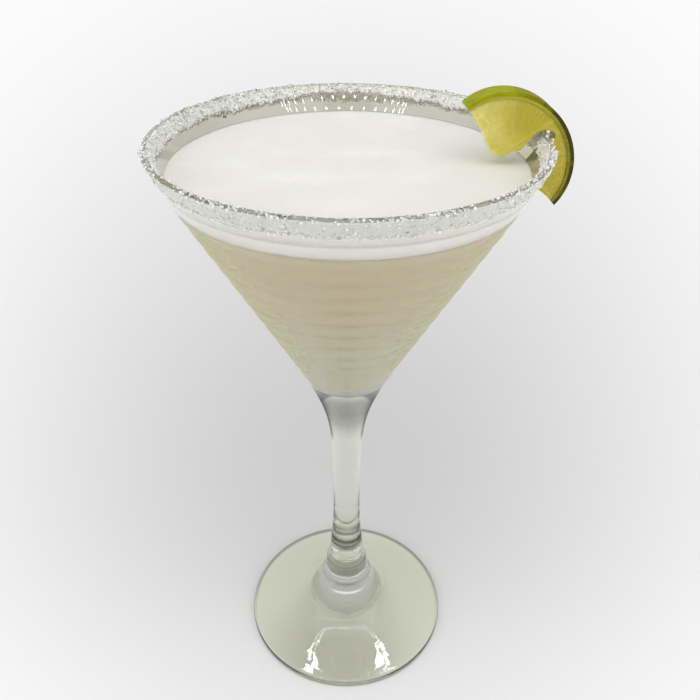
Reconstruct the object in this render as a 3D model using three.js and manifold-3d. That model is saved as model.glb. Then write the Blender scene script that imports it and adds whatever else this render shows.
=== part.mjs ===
// A daiquiri in a stemmed cocktail glass: clear glass, cloudy drink, foam, crystal rim and a slice of lime.
// Millimetres, +Z up, origin on the glass axis at the underside of the foot.
import * as THREE from "three";
import { mergeVertices } from "three/addons/utils/BufferGeometryUtils.js";
import Module from "manifold-3d";

const wasm = await Module();
wasm.setup();

// Round things
const SEGMENTS = 52; // facets round the glass, the drink and the foam
const GAP = 0.3; // clear space between two pieces that touch

// Foot of the glass
const FOOT_RADIUS = 35.9;
const FOOT_EDGE = 1.25; // radius of the rounded outer edge
const FOOT_TOP_EDGE = 2.5; // height of the foot just inside its edge
const FLARE = [
  // radius and height where the foot rises into the stem
  [28, 3.15],
  [24, 3.9],
  [20, 5.1],
  [16.5, 6.8],
  [13.8, 8.9],
  [12, 11.4],
  [11.3, 14.2],
  [10.3, 17],
  [8.8, 19.9],
  [7.6, 22.6],
  [7.35, 25.4],
  [6.95, 28],
  [6.05, 29.9],
];
const FLARE_STEPS = 14; // one facet ring at each of these points

// Stem and neck
const STEM_BOTTOM = 31.5;
const STEM_RADIUS = 4.44; // at its thinnest
const STEM_WIDENS_BELOW = 62;
const STEM_WIDENING = 0.00165; // per mm of height squared
const NECK_HEIGHT = 96.3; // where the cone's side, carried down, meets the stem
const NECK_SOFTNESS = 6.9; // how gradually the stem turns into the cone
const STEM_RINGS = [38, 46, 60, 76, 84, 91, 97, 103, 109, 116];

// Bowl
const CONE_SLOPE = 0.5447; // radius gained per mm of height
const RIM_HEIGHT = 184.2;
const RIM_CURVE_FROM = 166; // the wall draws in a little above this height
const RIM_CURVE_IN = 1.0;
const RIM_ROUND = 0.5;
const WALL_RIM = 1.55; // across, not square to the slope
const WALL_FOOT = 2.2; // extra at the bottom of the bowl
const WALL_FADE = 14;
const CAVITY_BOTTOM = 108.7;
const CAVITY_ROUND = 9.4; // radius where the rounded bottom meets the cone

// Rings pressed in the outside of the wall
const RIPPLE_PITCH = 5.33;
const RIPPLE_DEPTH = 0.12;
const RIPPLE_TOP = 165.3; // one crest
const RIPPLE_FIRST = 130.66;
const RIPPLE_LAST = 170.63;

// Contents
const DRINK_TOP = 172.5;
const FOAM_TOP = 176.5;
const FOAM_CURL = 0.45; // the foam creeps this far up the glass

// Crystal crust on the rim
const CRUST_LOW = 180.3;
const CRUST_TOP = 185;
const CRUST_THICK = 0.5;
const CRUST_SEGMENTS = 78;
const CRUST_UNEVEN = 0.55; // wander of the lower edge
const CRYSTAL_SMALL = 0.6;
const CRYSTAL_LARGE = 0.9;
const CRYSTALS = { outside: 56, inside: 34, top: 34 };
const CRYSTAL_STAND = 0.14; // how far a crystal's centre stands out of the crust
const CRYSTAL_CLEAR_FROM = -4; // no crystals on this arc in degrees, where the lime sits
const CRYSTAL_CLEAR_TO = 12.5;

// Slice of lime, drawn on its own upright plane: x outwards from the glass axis, y up
const LIME_REACH = 51.5; // distance of the slice's reference line from the glass axis
const LIME_FRONT = 0.8; // its front face lies this far behind the glass axis there
const LIME_TURN = 4.5; // degrees about the vertical
const LIME_THICK = 6;
const LIME_CENTRE = [41.35, 177.8];
const LIME_LONG = 18.5; // half length, from tip to tip
const LIME_WIDE = 16.1; // half width, core to skin
const LIME_LEAN = 132; // direction of the upper tip in degrees
const LIME_ARC_FROM = -83; // the lower tip is cut a little short of the oval's end
const LIME_ARC_STEPS = 26;
const LIME_EDGE = [
  // the cut edge of the inner arm, from the upper tip down to the foam
  [30.4, 190.3],
  [32.1, 187.8],
  [34.6, 184],
  [36.5, 180],
  [38.6, 179],
];
const LIME_CORE = [41.8, 181.2];
const LIME_CORE_RADIUS = 0.9;
const LIME_NOTCH = [
  // the slit that sits on the rim, open at the bottom
  [43.4, 178],
  [44.5, 181],
  [46, 183],
  [47.8, 185.35],
  [51.8, 185.35],
];
const LIME_ARM_CORNER = [46.9, 172.5]; // top of the outer arm's cut edge
const LIME_RIND = 1.9; // skin and pith together
const LIME_FLESH_SUNK = 0.45; // flesh below the rind on each face
const LIME_MEMBRANE = 0.5;
const LIME_MEMBRANE_SUNK = 0.15;
const LIME_MEMBRANES = [95, 35, -6, -48, 140]; // directions from the core in degrees

const COLOURS = {
  glass: new THREE.MeshStandardMaterial({
    color: 0xdfe3d8,
    roughness: 0.04,
    metalness: 0,
    transparent: true,
    opacity: 0.35,
  }),
  drink: new THREE.MeshStandardMaterial({ color: 0xbcb297, roughness: 0.3, metalness: 0 }),
  foam: new THREE.MeshStandardMaterial({ color: 0xeeede6, roughness: 0.7, metalness: 0 }),
  crystals: new THREE.MeshStandardMaterial({ color: 0xe4e5da, roughness: 0.25, metalness: 0 }),
  lime: new THREE.MeshStandardMaterial({ color: 0xa8a33c, roughness: 0.4, metalness: 0 }),
};

// A closed mesh as a solid, with its shared vertices merged.
function solidFrom(geometry) {
  const plain = geometry.clone();
  plain.deleteAttribute("normal");
  plain.deleteAttribute("uv");
  const merged = mergeVertices(plain, 1e-4);
  return new wasm.Manifold(
    new wasm.Mesh({
      numProp: 3,
      vertProperties: new Float32Array(merged.attributes.position.array),
      triVerts: new Uint32Array(merged.index.array),
    }),
  );
}

// A solid back as a mesh's geometry.
function geometryFrom(solid) {
  const mesh = solid.getMesh();
  const geometry = new THREE.BufferGeometry();
  geometry.setAttribute("position", new THREE.BufferAttribute(mesh.vertProperties, 3));
  geometry.setIndex(new THREE.BufferAttribute(mesh.triVerts, 1));
  geometry.computeVertexNormals();
  return geometry;
}

// A profile of [radius, height] points turned round the glass axis.
function turned(profile, segments = SEGMENTS) {
  const points = profile.map(([r, z]) => new THREE.Vector2(r, z));
  return new THREE.LatheGeometry(points, segments).rotateX(Math.PI / 2);
}

// Repeatable numbers from 0 to 1.
function seeded(seed) {
  let state = seed;
  return () => {
    state = (state * 1664525 + 1013904223) % 4294967296;
    return state / 4294967296;
  };
}

// Evenly spaced values, both ends included.
function steps(from, to, count) {
  return Array.from({ length: count + 1 }, (_, i) => from + ((to - from) * i) / count);
}

// The stem swells gently towards the foot, and turns softly into the straight side of the cone.
function stemRadius(z) {
  const below = Math.max(0, STEM_WIDENS_BELOW - z);
  const above = Math.log(1 + Math.exp((z - NECK_HEIGHT) / NECK_SOFTNESS));
  return STEM_RADIUS + STEM_WIDENING * below * below + CONE_SLOPE * NECK_SOFTNESS * above;
}

// Outside of the bowl without its rings: the cone, drawn in a little towards the rim.
function bowlRadius(z) {
  const t = Math.max(0, (z - RIM_CURVE_FROM) / (RIM_HEIGHT - RIM_CURVE_FROM));
  return stemRadius(z) - RIM_CURVE_IN * t * t;
}

// Inside of the wall, which is thickest at the bottom of the bowl.
function cavityRadius(z) {
  return bowlRadius(z) - WALL_RIM - WALL_FOOT * Math.exp((CAVITY_BOTTOM - z) / WALL_FADE);
}

// Height at which the cavity reaches a given radius, found by halving.
function cavityHeight(radius) {
  let low = CAVITY_BOTTOM;
  let high = RIM_HEIGHT;
  for (let i = 0; i < 40; i++) {
    const middle = (low + high) / 2;
    if (cavityRadius(middle) < radius) low = middle;
    else high = middle;
  }
  return low;
}

// The rounded bottom of the cavity from the axis out to the cone, shrunk by a clearance.
function cavityFloor(clear) {
  const top = cavityHeight(CAVITY_ROUND);
  return steps(0, 1, 4).map((t) => {
    const drop = (1 - t * t) * (top - CAVITY_BOTTOM);
    return [t * (CAVITY_ROUND - clear), top - drop + clear * (1 - t * 0.5)];
  });
}

function footProfile() {
  const edge = steps(-90, 90, 4).map((degrees) => {
    const a = THREE.MathUtils.degToRad(degrees);
    const inset = FOOT_RADIUS - FOOT_EDGE;
    return [inset + FOOT_EDGE * Math.cos(a), (FOOT_TOP_EDGE / 2) * (1 + Math.sin(a))];
  });
  const last = edge[edge.length - 1];
  const rise = new THREE.SplineCurve(
    [last, ...FLARE, [stemRadius(STEM_BOTTOM), STEM_BOTTOM]].map(([r, z]) => new THREE.Vector2(r, z)),
  );
  const flare = rise.getPoints(FLARE_STEPS).slice(1);
  return [[0, 0], ...edge, ...flare.map((p) => [p.x, p.y])];
}

function bowlOutside() {
  const stem = STEM_RINGS.map((z) => [stemRadius(z), z]);
  const plain = [[bowlRadius(124), 124]];
  const half = RIPPLE_PITCH / 2;
  const count = Math.round((RIPPLE_LAST - RIPPLE_FIRST) / half);
  const rings = steps(RIPPLE_FIRST, RIPPLE_LAST, count).map((z) => {
    const phase = (2 * Math.PI * (z - RIPPLE_TOP)) / RIPPLE_PITCH;
    return [bowlRadius(z) + RIPPLE_DEPTH * Math.cos(phase), z];
  });
  const shoulder = RIM_HEIGHT - RIM_ROUND;
  return [...stem, ...plain, ...rings, [bowlRadius(177), 177], [bowlRadius(shoulder), shoulder]];
}

function makeGlass() {
  const lip = [
    [bowlRadius(RIM_HEIGHT) - RIM_ROUND, RIM_HEIGHT],
    [cavityRadius(RIM_HEIGHT) + RIM_ROUND, RIM_HEIGHT],
    [cavityRadius(RIM_HEIGHT - RIM_ROUND), RIM_HEIGHT - RIM_ROUND],
  ];
  const inside = [176, 160, 145, 132, 121].map((z) => [cavityRadius(z), z]);
  const floor = cavityFloor(0).reverse();
  return turned([...footProfile(), ...bowlOutside(), ...lip, ...inside, ...floor]);
}

function makeDrink() {
  const wall = [121, 132, 145, 160, DRINK_TOP].map((z) => [cavityRadius(z) - GAP, z]);
  return turned([...cavityFloor(GAP), ...wall, [0, DRINK_TOP]]);
}

function makeFoam() {
  const base = DRINK_TOP + GAP;
  const wallTop = FOAM_TOP + FOAM_CURL;
  const edge = cavityRadius(wallTop) - GAP;
  return turned([
    [0, base],
    [cavityRadius(base) - GAP, base],
    [edge, wallTop],
    [edge - 0.5, wallTop],
    [edge - 1.6, FOAM_TOP + 0.1],
    [edge - 4, FOAM_TOP],
    [0, FOAM_TOP],
  ]);
}

// The band's lower edge wanders up and down round the rim.
function crustWander(angle) {
  return (
    CRUST_UNEVEN *
    (0.45 * Math.sin(7 * angle + 1) + 0.35 * Math.sin(17 * angle + 2.4) + 0.3 * Math.sin(31 * angle))
  );
}

// A cap of packed crystals over the rim, with the wall standing in the slot below it.
function crustBand() {
  const slot = RIM_HEIGHT + GAP;
  const low = CRUST_LOW;
  const face = low + 0.9;
  const outer = (z) => bowlRadius(z) + GAP;
  const inner = (z) => cavityRadius(z) - GAP;
  const band = turned(
    [
      [outer(low), low],
      [outer(face) + CRUST_THICK, face],
      [outer(RIM_HEIGHT) + CRUST_THICK, RIM_HEIGHT],
      [outer(RIM_HEIGHT) + 0.1, CRUST_TOP],
      [inner(RIM_HEIGHT) - 0.1, CRUST_TOP],
      [inner(RIM_HEIGHT) - CRUST_THICK, RIM_HEIGHT],
      [inner(face) - CRUST_THICK, face],
      [inner(low), low],
      [inner(RIM_HEIGHT), slot],
      [outer(RIM_HEIGHT), slot],
      [outer(low), low],
    ],
    CRUST_SEGMENTS,
  );
  const place = band.attributes.position;
  for (let i = 0; i < place.count; i++) {
    const x = place.getX(i);
    const y = place.getY(i);
    const z = place.getZ(i);
    if (z > face + 0.1) continue;
    const lift = crustWander(Math.atan2(y, x));
    const slide = (z < low + 0.1 ? lift : lift * 0.6) * CONE_SLOPE;
    const radius = Math.hypot(x, y);
    place.setXYZ(i, x * (1 + slide / radius), y * (1 + slide / radius), z + slide / CONE_SLOPE);
  }
  return solidFrom(band);
}

// One crystal: a small block with its own size and turn.
function crystal(random, radius, angle, height) {
  const size = CRYSTAL_SMALL + (CRYSTAL_LARGE - CRYSTAL_SMALL) * random();
  const block = new THREE.BoxGeometry(size, size * (0.75 + 0.25 * random()), size * (0.75 + 0.25 * random()));
  block.rotateX(Math.PI * random()).rotateY(Math.PI * random()).rotateZ(Math.PI * random());
  return solidFrom(block.translate(radius * Math.cos(angle), radius * Math.sin(angle), height));
}

function makeCrystals() {
  const random = seeded(11);
  const stand = GAP + CRUST_THICK + CRYSTAL_STAND;
  const pieces = [crustBand()];
  const from = THREE.MathUtils.degToRad(CRYSTAL_CLEAR_TO);
  const to = THREE.MathUtils.degToRad(360 + CRYSTAL_CLEAR_FROM);
  // Crystals spread evenly round the rim, each moved a little off its place.
  const scatter = (count, place) => {
    for (let i = 0; i < count; i++) {
      const angle = from + ((to - from) * (i + 0.2 + 0.6 * random())) / count;
      const [radius, height] = place(random());
      pieces.push(crystal(random, radius, angle, height));
    }
  };
  const heightAt = (t) => CRUST_LOW + 1.2 + (RIM_HEIGHT - CRUST_LOW - 1.2) * t;
  scatter(CRYSTALS.outside, (t) => [bowlRadius(heightAt(t)) + stand, heightAt(t)]);
  scatter(CRYSTALS.inside, (t) => [cavityRadius(heightAt(t)) - stand, heightAt(t)]);
  const middle = (bowlRadius(RIM_HEIGHT) + cavityRadius(RIM_HEIGHT)) / 2;
  scatter(CRYSTALS.top, (t) => [middle + (t - 0.5) * WALL_RIM, CRUST_TOP + 0.08]);
  return geometryFrom(wasm.Manifold.union(pieces));
}

// The plane of the slice, as a matrix from drawing space (x outwards, y up, z to the front).
function limePlane() {
  const turn = THREE.MathUtils.degToRad(LIME_TURN);
  const out = new THREE.Vector3(Math.cos(turn), Math.sin(turn), 0);
  const up = new THREE.Vector3(0, 0, 1);
  const front = new THREE.Vector3().crossVectors(out, up);
  return new THREE.Matrix4().makeBasis(out, up, front).setPosition(LIME_REACH, LIME_FRONT, 0);
}

// A flat outline on the slice's plane given the slice's thickness less what it is sunk on each face.
function limeLayer(outline, sunk) {
  const shape = new THREE.Shape(outline.map(([x, y]) => new THREE.Vector2(x - LIME_REACH, y)));
  const layer = new THREE.ExtrudeGeometry(shape, { depth: LIME_THICK - 2 * sunk, bevelEnabled: false });
  return solidFrom(layer.translate(0, 0, sunk - LIME_THICK).applyMatrix4(limePlane()));
}

// The oval outside of the slice, drawn in by an inset, from the lower tip round to the upper tip.
function limeArc(inset) {
  const lean = THREE.MathUtils.degToRad(LIME_LEAN);
  return steps(LIME_ARC_FROM, 90, LIME_ARC_STEPS).map((degrees) => {
    const a = THREE.MathUtils.degToRad(degrees);
    const along = (LIME_LONG - inset) * Math.sin(a);
    const across = (LIME_WIDE - inset) * Math.cos(a);
    return [
      LIME_CENTRE[0] + along * Math.cos(lean) + across * Math.sin(lean),
      LIME_CENTRE[1] + along * Math.sin(lean) - across * Math.cos(lean),
    ];
  });
}

function makeLime() {
  const cut = [...LIME_EDGE, LIME_NOTCH[1], LIME_ARM_CORNER];
  const flesh = limeLayer([...limeArc(0.2), ...cut], LIME_FLESH_SUNK);
  const rind = limeLayer([...limeArc(0), ...limeArc(LIME_RIND).reverse()], 0);
  const whole = limeLayer([...limeArc(0), ...cut], 0);
  const membranes = LIME_MEMBRANES.map((degrees) => {
    const a = THREE.MathUtils.degToRad(degrees);
    const [cx, cy] = LIME_CORE;
    const side = [(-Math.sin(a) * LIME_MEMBRANE) / 2, (Math.cos(a) * LIME_MEMBRANE) / 2];
    const tip = [cx + LIME_LONG * Math.cos(a), cy + LIME_LONG * Math.sin(a)];
    const strip = [
      [cx - side[0], cy - side[1]],
      [tip[0] - side[0], tip[1] - side[1]],
      [tip[0] + side[0], tip[1] + side[1]],
      [cx + side[0], cy + side[1]],
    ];
    return limeLayer(strip, LIME_MEMBRANE_SUNK).intersect(whole);
  });
  const coreOutline = steps(0, 315, 7).map((degrees) => {
    const a = THREE.MathUtils.degToRad(degrees);
    return [LIME_CORE[0] + LIME_CORE_RADIUS * Math.cos(a), LIME_CORE[1] + LIME_CORE_RADIUS * Math.sin(a)];
  });
  const core = limeLayer(coreOutline, LIME_MEMBRANE_SUNK);
  const slice = wasm.Manifold.union([flesh, rind, core, ...membranes]);

  // The wall and its crust stand in the slit, so the slice is cut round them with the usual gap.
  const side = CRUST_THICK + 2 * GAP;
  const heights = [150, 165, 178];
  const crusted = [179.4, RIM_HEIGHT];
  const room = turned([
    ...heights.map((z) => [bowlRadius(z) + GAP + 0.1, z]),
    ...crusted.map((z) => [bowlRadius(z) + side, z]),
    [bowlRadius(RIM_HEIGHT) + side, CRUST_TOP + GAP + 0.05],
    [cavityRadius(RIM_HEIGHT) - side, CRUST_TOP + GAP + 0.05],
    ...[...heights, RIM_HEIGHT].reverse().map((z) => [cavityRadius(z) - side, z]),
    [bowlRadius(heights[0]) + GAP + 0.1, heights[0]],
  ]);
  const wallLine = steps(CRUST_TOP, 160, 4).map((z) => [bowlRadius(z) - WALL_RIM / 2, z]);
  const below = [LIME_EDGE[0][0], 160];
  const notch = limeLayer([...LIME_NOTCH, ...wallLine, below], -1);
  return geometryFrom(slice.subtract(notch).subtract(solidFrom(room)));
}

function node(name, geometry, material) {
  const mesh = new THREE.Mesh(geometry, material);
  mesh.name = name;
  return mesh;
}

const glassware = new THREE.Group();
glassware.add(node("glass", makeGlass(), COLOURS.glass));
glassware.add(node("rim_crystals", makeCrystals(), COLOURS.crystals));

const contents = new THREE.Group();
contents.add(node("drink", makeDrink(), COLOURS.drink));
contents.add(node("foam", makeFoam(), COLOURS.foam));

const daiquiri = new THREE.Group();
daiquiri.add(glassware, contents, node("lime_slice", makeLime(), COLOURS.lime));

export default daiquiri;
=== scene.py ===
"""Looks of a daiquiri in a stemmed cocktail glass, dressed round its fixed model.

Metres, +Z up. The glass axis is x = y = 0, the foot stands on z = 0 and the lime is on the +X side.
"""

import logging
import math
from dataclasses import dataclass
from enum import Enum
from typing import Callable, Sequence

import bpy
import numpy as np
from mathutils import Matrix, Vector


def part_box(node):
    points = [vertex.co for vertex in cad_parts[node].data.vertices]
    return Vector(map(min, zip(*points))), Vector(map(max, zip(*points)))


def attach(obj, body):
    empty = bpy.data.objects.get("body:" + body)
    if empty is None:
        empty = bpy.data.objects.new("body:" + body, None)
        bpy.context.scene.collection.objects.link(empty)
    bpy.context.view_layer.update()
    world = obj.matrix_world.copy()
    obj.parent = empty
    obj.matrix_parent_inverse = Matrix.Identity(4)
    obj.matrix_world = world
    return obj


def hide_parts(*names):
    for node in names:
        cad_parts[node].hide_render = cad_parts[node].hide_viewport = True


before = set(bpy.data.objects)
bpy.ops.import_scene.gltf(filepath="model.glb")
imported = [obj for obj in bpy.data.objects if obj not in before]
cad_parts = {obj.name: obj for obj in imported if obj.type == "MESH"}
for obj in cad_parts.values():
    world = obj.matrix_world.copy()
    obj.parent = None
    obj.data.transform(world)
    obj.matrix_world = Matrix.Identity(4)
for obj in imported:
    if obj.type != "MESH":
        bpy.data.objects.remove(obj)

LOG = logging.getLogger("daiquiri")
MM = 0.001
BODY = "root"
RAMP_REACH = 200 * MM
Colour = tuple[float, float, float, float]
Band = tuple[float, float, float, float]
Ring = tuple[float, float, float]


def srgb(red: int, green: int, blue: int) -> Colour:
    """Turns a colour as seen on a screen into the linear colour that a shader takes.

    Args:
        red: Red from 0 to 255.
        green: Green from 0 to 255.
        blue: Blue from 0 to 255.

    Returns:
        The linear colour with full alpha.
    """
    def linear(level: int) -> float:
        """One channel, by the screen standard's curve."""
        share = level / 255
        return share / 12.92 if share <= 0.04045 else ((share + 0.055) / 1.055) ** 2.4
    return linear(red), linear(green), linear(blue), 1.0


def smooth(value: np.ndarray, low: float, high: float) -> np.ndarray:
    """Rises from 0 at low to 1 at high along a smooth step, 3t^2 - 2t^3."""
    share = np.clip((value - low) / (high - low), 0, 1)
    return share * share * (3 - 2 * share)


def band(value: np.ndarray, start: float, full: float, ebb: float, end: float) -> np.ndarray:
    """Rises from 0 at start to 1 at full, stays there up to ebb, and falls back to 0 at end."""
    return smooth(value, start, full) * (1 - smooth(value, ebb, end))


def peak(value: np.ndarray, middle: float, half: float, power: float = 2) -> np.ndarray:
    """A bell, e to the power of -((value - middle) / half)^power: 1 in the middle and 0 far away.

    Args:
        value: Places along the bell.
        middle: Where it is highest.
        half: Half its width.
        power: How blunt its top is.

    Returns:
        The bell's height at each place.
    """
    return np.exp(-(((value - middle) / half) ** power))


def round_axis(radius: np.ndarray | float, angle: np.ndarray, height: np.ndarray | float) -> np.ndarray:
    """Points round the glass axis: radius times the cosine and the sine of the angle, and the height."""
    radius, angle, height = np.broadcast_arrays(radius, angle, height)
    return np.stack([radius * np.cos(angle), radius * np.sin(angle), height], axis=-1)


def lattice_noise(points: np.ndarray, cell: float, seed: int) -> np.ndarray:
    """Smooth noise: random values on a cubic lattice, blended by a smooth step between the corners.

    Args:
        points: Places, with the three coordinates last.
        cell: Side of a lattice cell, in the same unit.
        seed: Picks one pattern.

    Returns:
        Values from -1 to 1, one for each place.
    """
    place = points / cell
    base = np.floor(place).astype(np.int64)
    share = place - base
    weight = share * share * (3 - 2 * share)
    total = np.zeros(points.shape[:-1])
    for corner in np.ndindex(2, 2, 2):
        key = base + np.array(corner)
        mixed = (key[..., 0] * 73856093) ^ (key[..., 1] * 19349663) ^ (key[..., 2] * 83492791)
        mixed = (mixed + seed * 374761393) & 0x7FFFFFFF
        mixed = ((mixed ^ (mixed >> 13)) * 1274126177) & 0x7FFFFFFF
        value = ((mixed ^ (mixed >> 16)) % 65536) / 32768 - 1
        blend = np.where(np.array(corner) == 1, weight, 1 - weight).prod(axis=-1)
        total += value * blend
    return total


# Shader maths


@dataclass(frozen=True)
class Value:
    """A number socket of a node tree, with arithmetic that adds Math nodes."""

    shade: "Shade"
    socket: bpy.types.NodeSocket

    def _math(self, operation: str, first: "Value | float", second: "Value | float") -> "Value":
        """Adds one Math node.

        Args:
            operation: The node's operation.
            first: Its first operand.
            second: Its second operand.

        Returns:
            The node's result.
        """
        made = self.shade.node("ShaderNodeMath", {"operation": operation}, {0: first, 1: second})
        return Value(self.shade, made.outputs[0])

    def __add__(self, other: "Value | float") -> "Value":
        """Sum."""
        return self._math("ADD", self, other)

    __radd__ = __add__

    def __sub__(self, other: "Value | float") -> "Value":
        """Difference."""
        return self._math("SUBTRACT", self, other)

    def __rsub__(self, other: "Value | float") -> "Value":
        """Difference from a number."""
        return self._math("SUBTRACT", other, self)

    def __mul__(self, other: "Value | float") -> "Value":
        """Product."""
        return self._math("MULTIPLY", self, other)

    __rmul__ = __mul__

    def __truediv__(self, other: "Value | float") -> "Value":
        """Quotient."""
        return self._math("DIVIDE", self, other)

    def __pow__(self, other: "Value | float") -> "Value":
        """Power."""
        return self._math("POWER", self, other)

    def at_least(self, floor: float) -> "Value":
        """The larger of the value and a number."""
        return self._math("MAXIMUM", self, floor)

    def cosine(self) -> "Value":
        """Cosine of the value in radians."""
        return self._math("COSINE", self, 0.0)

    def step(self, low: float, high: float, start: float = 0.0, end: float = 1.0) -> "Value":
        """Maps low..high onto start..end along a smooth step.

        Args:
            low: Value that gives start.
            high: Value that gives end.
            start: Result at low.
            end: Result at high.

        Returns:
            The mapped number.
        """
        made = self.shade.node(
            "ShaderNodeMapRange",
            {"interpolation_type": "SMOOTHSTEP"},
            {"Value": self, "From Min": low, "From Max": high, "To Min": start, "To Max": end},
        )
        return Value(self.shade, made.outputs["Result"])


class Shade:
    """One node tree, with the few ways of adding to it that the finishes and the sky use."""

    def __init__(self, name: str, sky: bool = False) -> None:
        """Makes an empty material or sky.

        Args:
            name: Its name.
            sky: Whether it is the sky, whose coordinates are directions.
        """
        self.owner = (bpy.data.worlds if sky else bpy.data.materials).new(name)
        self.owner.use_nodes = True
        self.tree = self.owner.node_tree
        self.tree.nodes.clear()
        self.place = self.node("ShaderNodeTexCoord").outputs["Generated" if sky else "Object"]

    def node(
        self,
        kind: str,
        settings: dict[str, object] | None = None,
        inputs: dict[str | int, object] | None = None,
    ) -> bpy.types.Node:
        """Adds a node of any kind.

        Args:
            kind: The node's type.
            settings: Properties that are set first. "stops" gives a ramp's positions and colours.
            inputs: Values or links for its sockets, by name or number.

        Returns:
            The node.
        """
        made = self.tree.nodes.new(kind)
        for key, setting in (settings or {}).items():
            if key == "stops":
                ramp = made.color_ramp
                while len(ramp.elements) < len(setting):
                    ramp.elements.new(1.0)
                for element, (position, colour) in zip(ramp.elements, setting):
                    element.position = position
                    element.color = colour
            else:
                setattr(made, key, setting)
        for key, given in (inputs or {}).items():
            link = given.socket if isinstance(given, Value) else given
            if isinstance(link, bpy.types.NodeSocket):
                self.tree.links.new(link, made.inputs[key])
            else:
                made.inputs[key].default_value = link
        return made

    def axis(self, letter: str) -> Value:
        """One of the piece's own coordinates, in metres."""
        parts = self.node("ShaderNodeSeparateXYZ", None, {0: self.place})
        return Value(self, parts.outputs[letter])

    def noise(self, size: float, detail: float = 2.0, rough: float = 0.5, warp: float = 0.0) -> Value:
        """Cloudy noise from 0 to 1.

        Args:
            size: Width of its blotches in metres.
            detail: Octaves of finer noise.
            rough: Strength of the finer octaves.
            warp: How far the pattern is bent.

        Returns:
            The noise's level.
        """
        made = self.node(
            "ShaderNodeTexNoise",
            None,
            {"Vector": self.place, "Scale": 1 / size, "Detail": detail, "Roughness": rough, "Distortion": warp},
        )
        return Value(self, made.outputs["Fac"])

    def cells(self, size: float) -> Value:
        """Distance to the middle of the nearest cell in a pattern of uneven cells, from 0 to about 1.

        Args:
            size: Width of a cell in metres.

        Returns:
            The distance.
        """
        made = self.node("ShaderNodeTexVoronoi", None, {"Vector": self.place, "Scale": 1 / size})
        return Value(self, made.outputs["Distance"])

    def attribute(self, name: str) -> Value:
        """A number stored on the piece's vertices."""
        made = self.node("ShaderNodeAttribute", {"attribute_name": name})
        return Value(self, made.outputs["Fac"])

    def grazing(self) -> Value:
        """0 where the surface faces the eye, rising to 1 where it turns away; it places the painted shade on
        the glass.
        """
        return Value(self, self.node("ShaderNodeLayerWeight", None, {"Blend": 0.5}).outputs["Facing"])

    def mix(self, share: Value | float, first: object, second: object) -> bpy.types.NodeSocket:
        """Blends two colours.

        Args:
            share: 0 gives the first and 1 the second.
            first: Colour or colour socket.
            second: Colour or colour socket.

        Returns:
            The blended colour's socket.
        """
        made = self.node("ShaderNodeMix", {"data_type": "RGBA"}, {0: share, 6: first, 7: second})
        return made.outputs[2]

    def ramp(self, share: Value, stops: Sequence[tuple[float, Colour]]) -> bpy.types.NodeSocket:
        """Looks a colour up in a row of stops.

        Args:
            share: Place in the row, from 0 to 1.
            stops: Positions and colours.

        Returns:
            The colour's socket.
        """
        return self.node("ShaderNodeValToRGB", {"stops": stops}, {0: share}).outputs[0]

    def by_height(self, height: Value, levels: Sequence[tuple[float, Colour]]) -> bpy.types.NodeSocket:
        """Looks a colour up by height.

        Args:
            height: Height in metres.
            levels: Heights in millimetres and their colours, from the lowest up.

        Returns:
            The colour's socket.
        """
        stops = [(level * MM / RAMP_REACH, colour) for level, colour in levels]
        return self.ramp(height / RAMP_REACH, stops)

    def bump(self, height: Value, depth: float, strength: float = 1.0) -> bpy.types.NodeSocket:
        """Turns a height into a normal.

        Args:
            height: Height from 0 to 1.
            depth: Real depth of that range in metres.
            strength: How much of it is used.

        Returns:
            The normal's socket.
        """
        made = self.node(
            "ShaderNodeBump", None, {"Height": height, "Distance": depth, "Strength": strength}
        )
        return made.outputs[0]

    def surface(self, **sockets: object) -> bpy.types.NodeSocket:
        """Adds a Principled surface.

        Args:
            sockets: Its sockets, with spaces in their names written as underscores.

        Returns:
            The surface's socket.
        """
        named = {key.replace("_", " "): given for key, given in sockets.items()}
        return self.node("ShaderNodeBsdfPrincipled", None, named).outputs[0]

    def end(self, surface: bpy.types.NodeSocket) -> bpy.types.Material:
        """Ends the tree in a surface and gives back the finished material."""
        self.node("ShaderNodeOutputMaterial", None, {"Surface": surface})
        return self.owner

    def finish(self, **sockets: object) -> bpy.types.Material:
        """Ends the tree in one Principled surface with these sockets."""
        return self.end(self.surface(**sockets))


# Finishes


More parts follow.
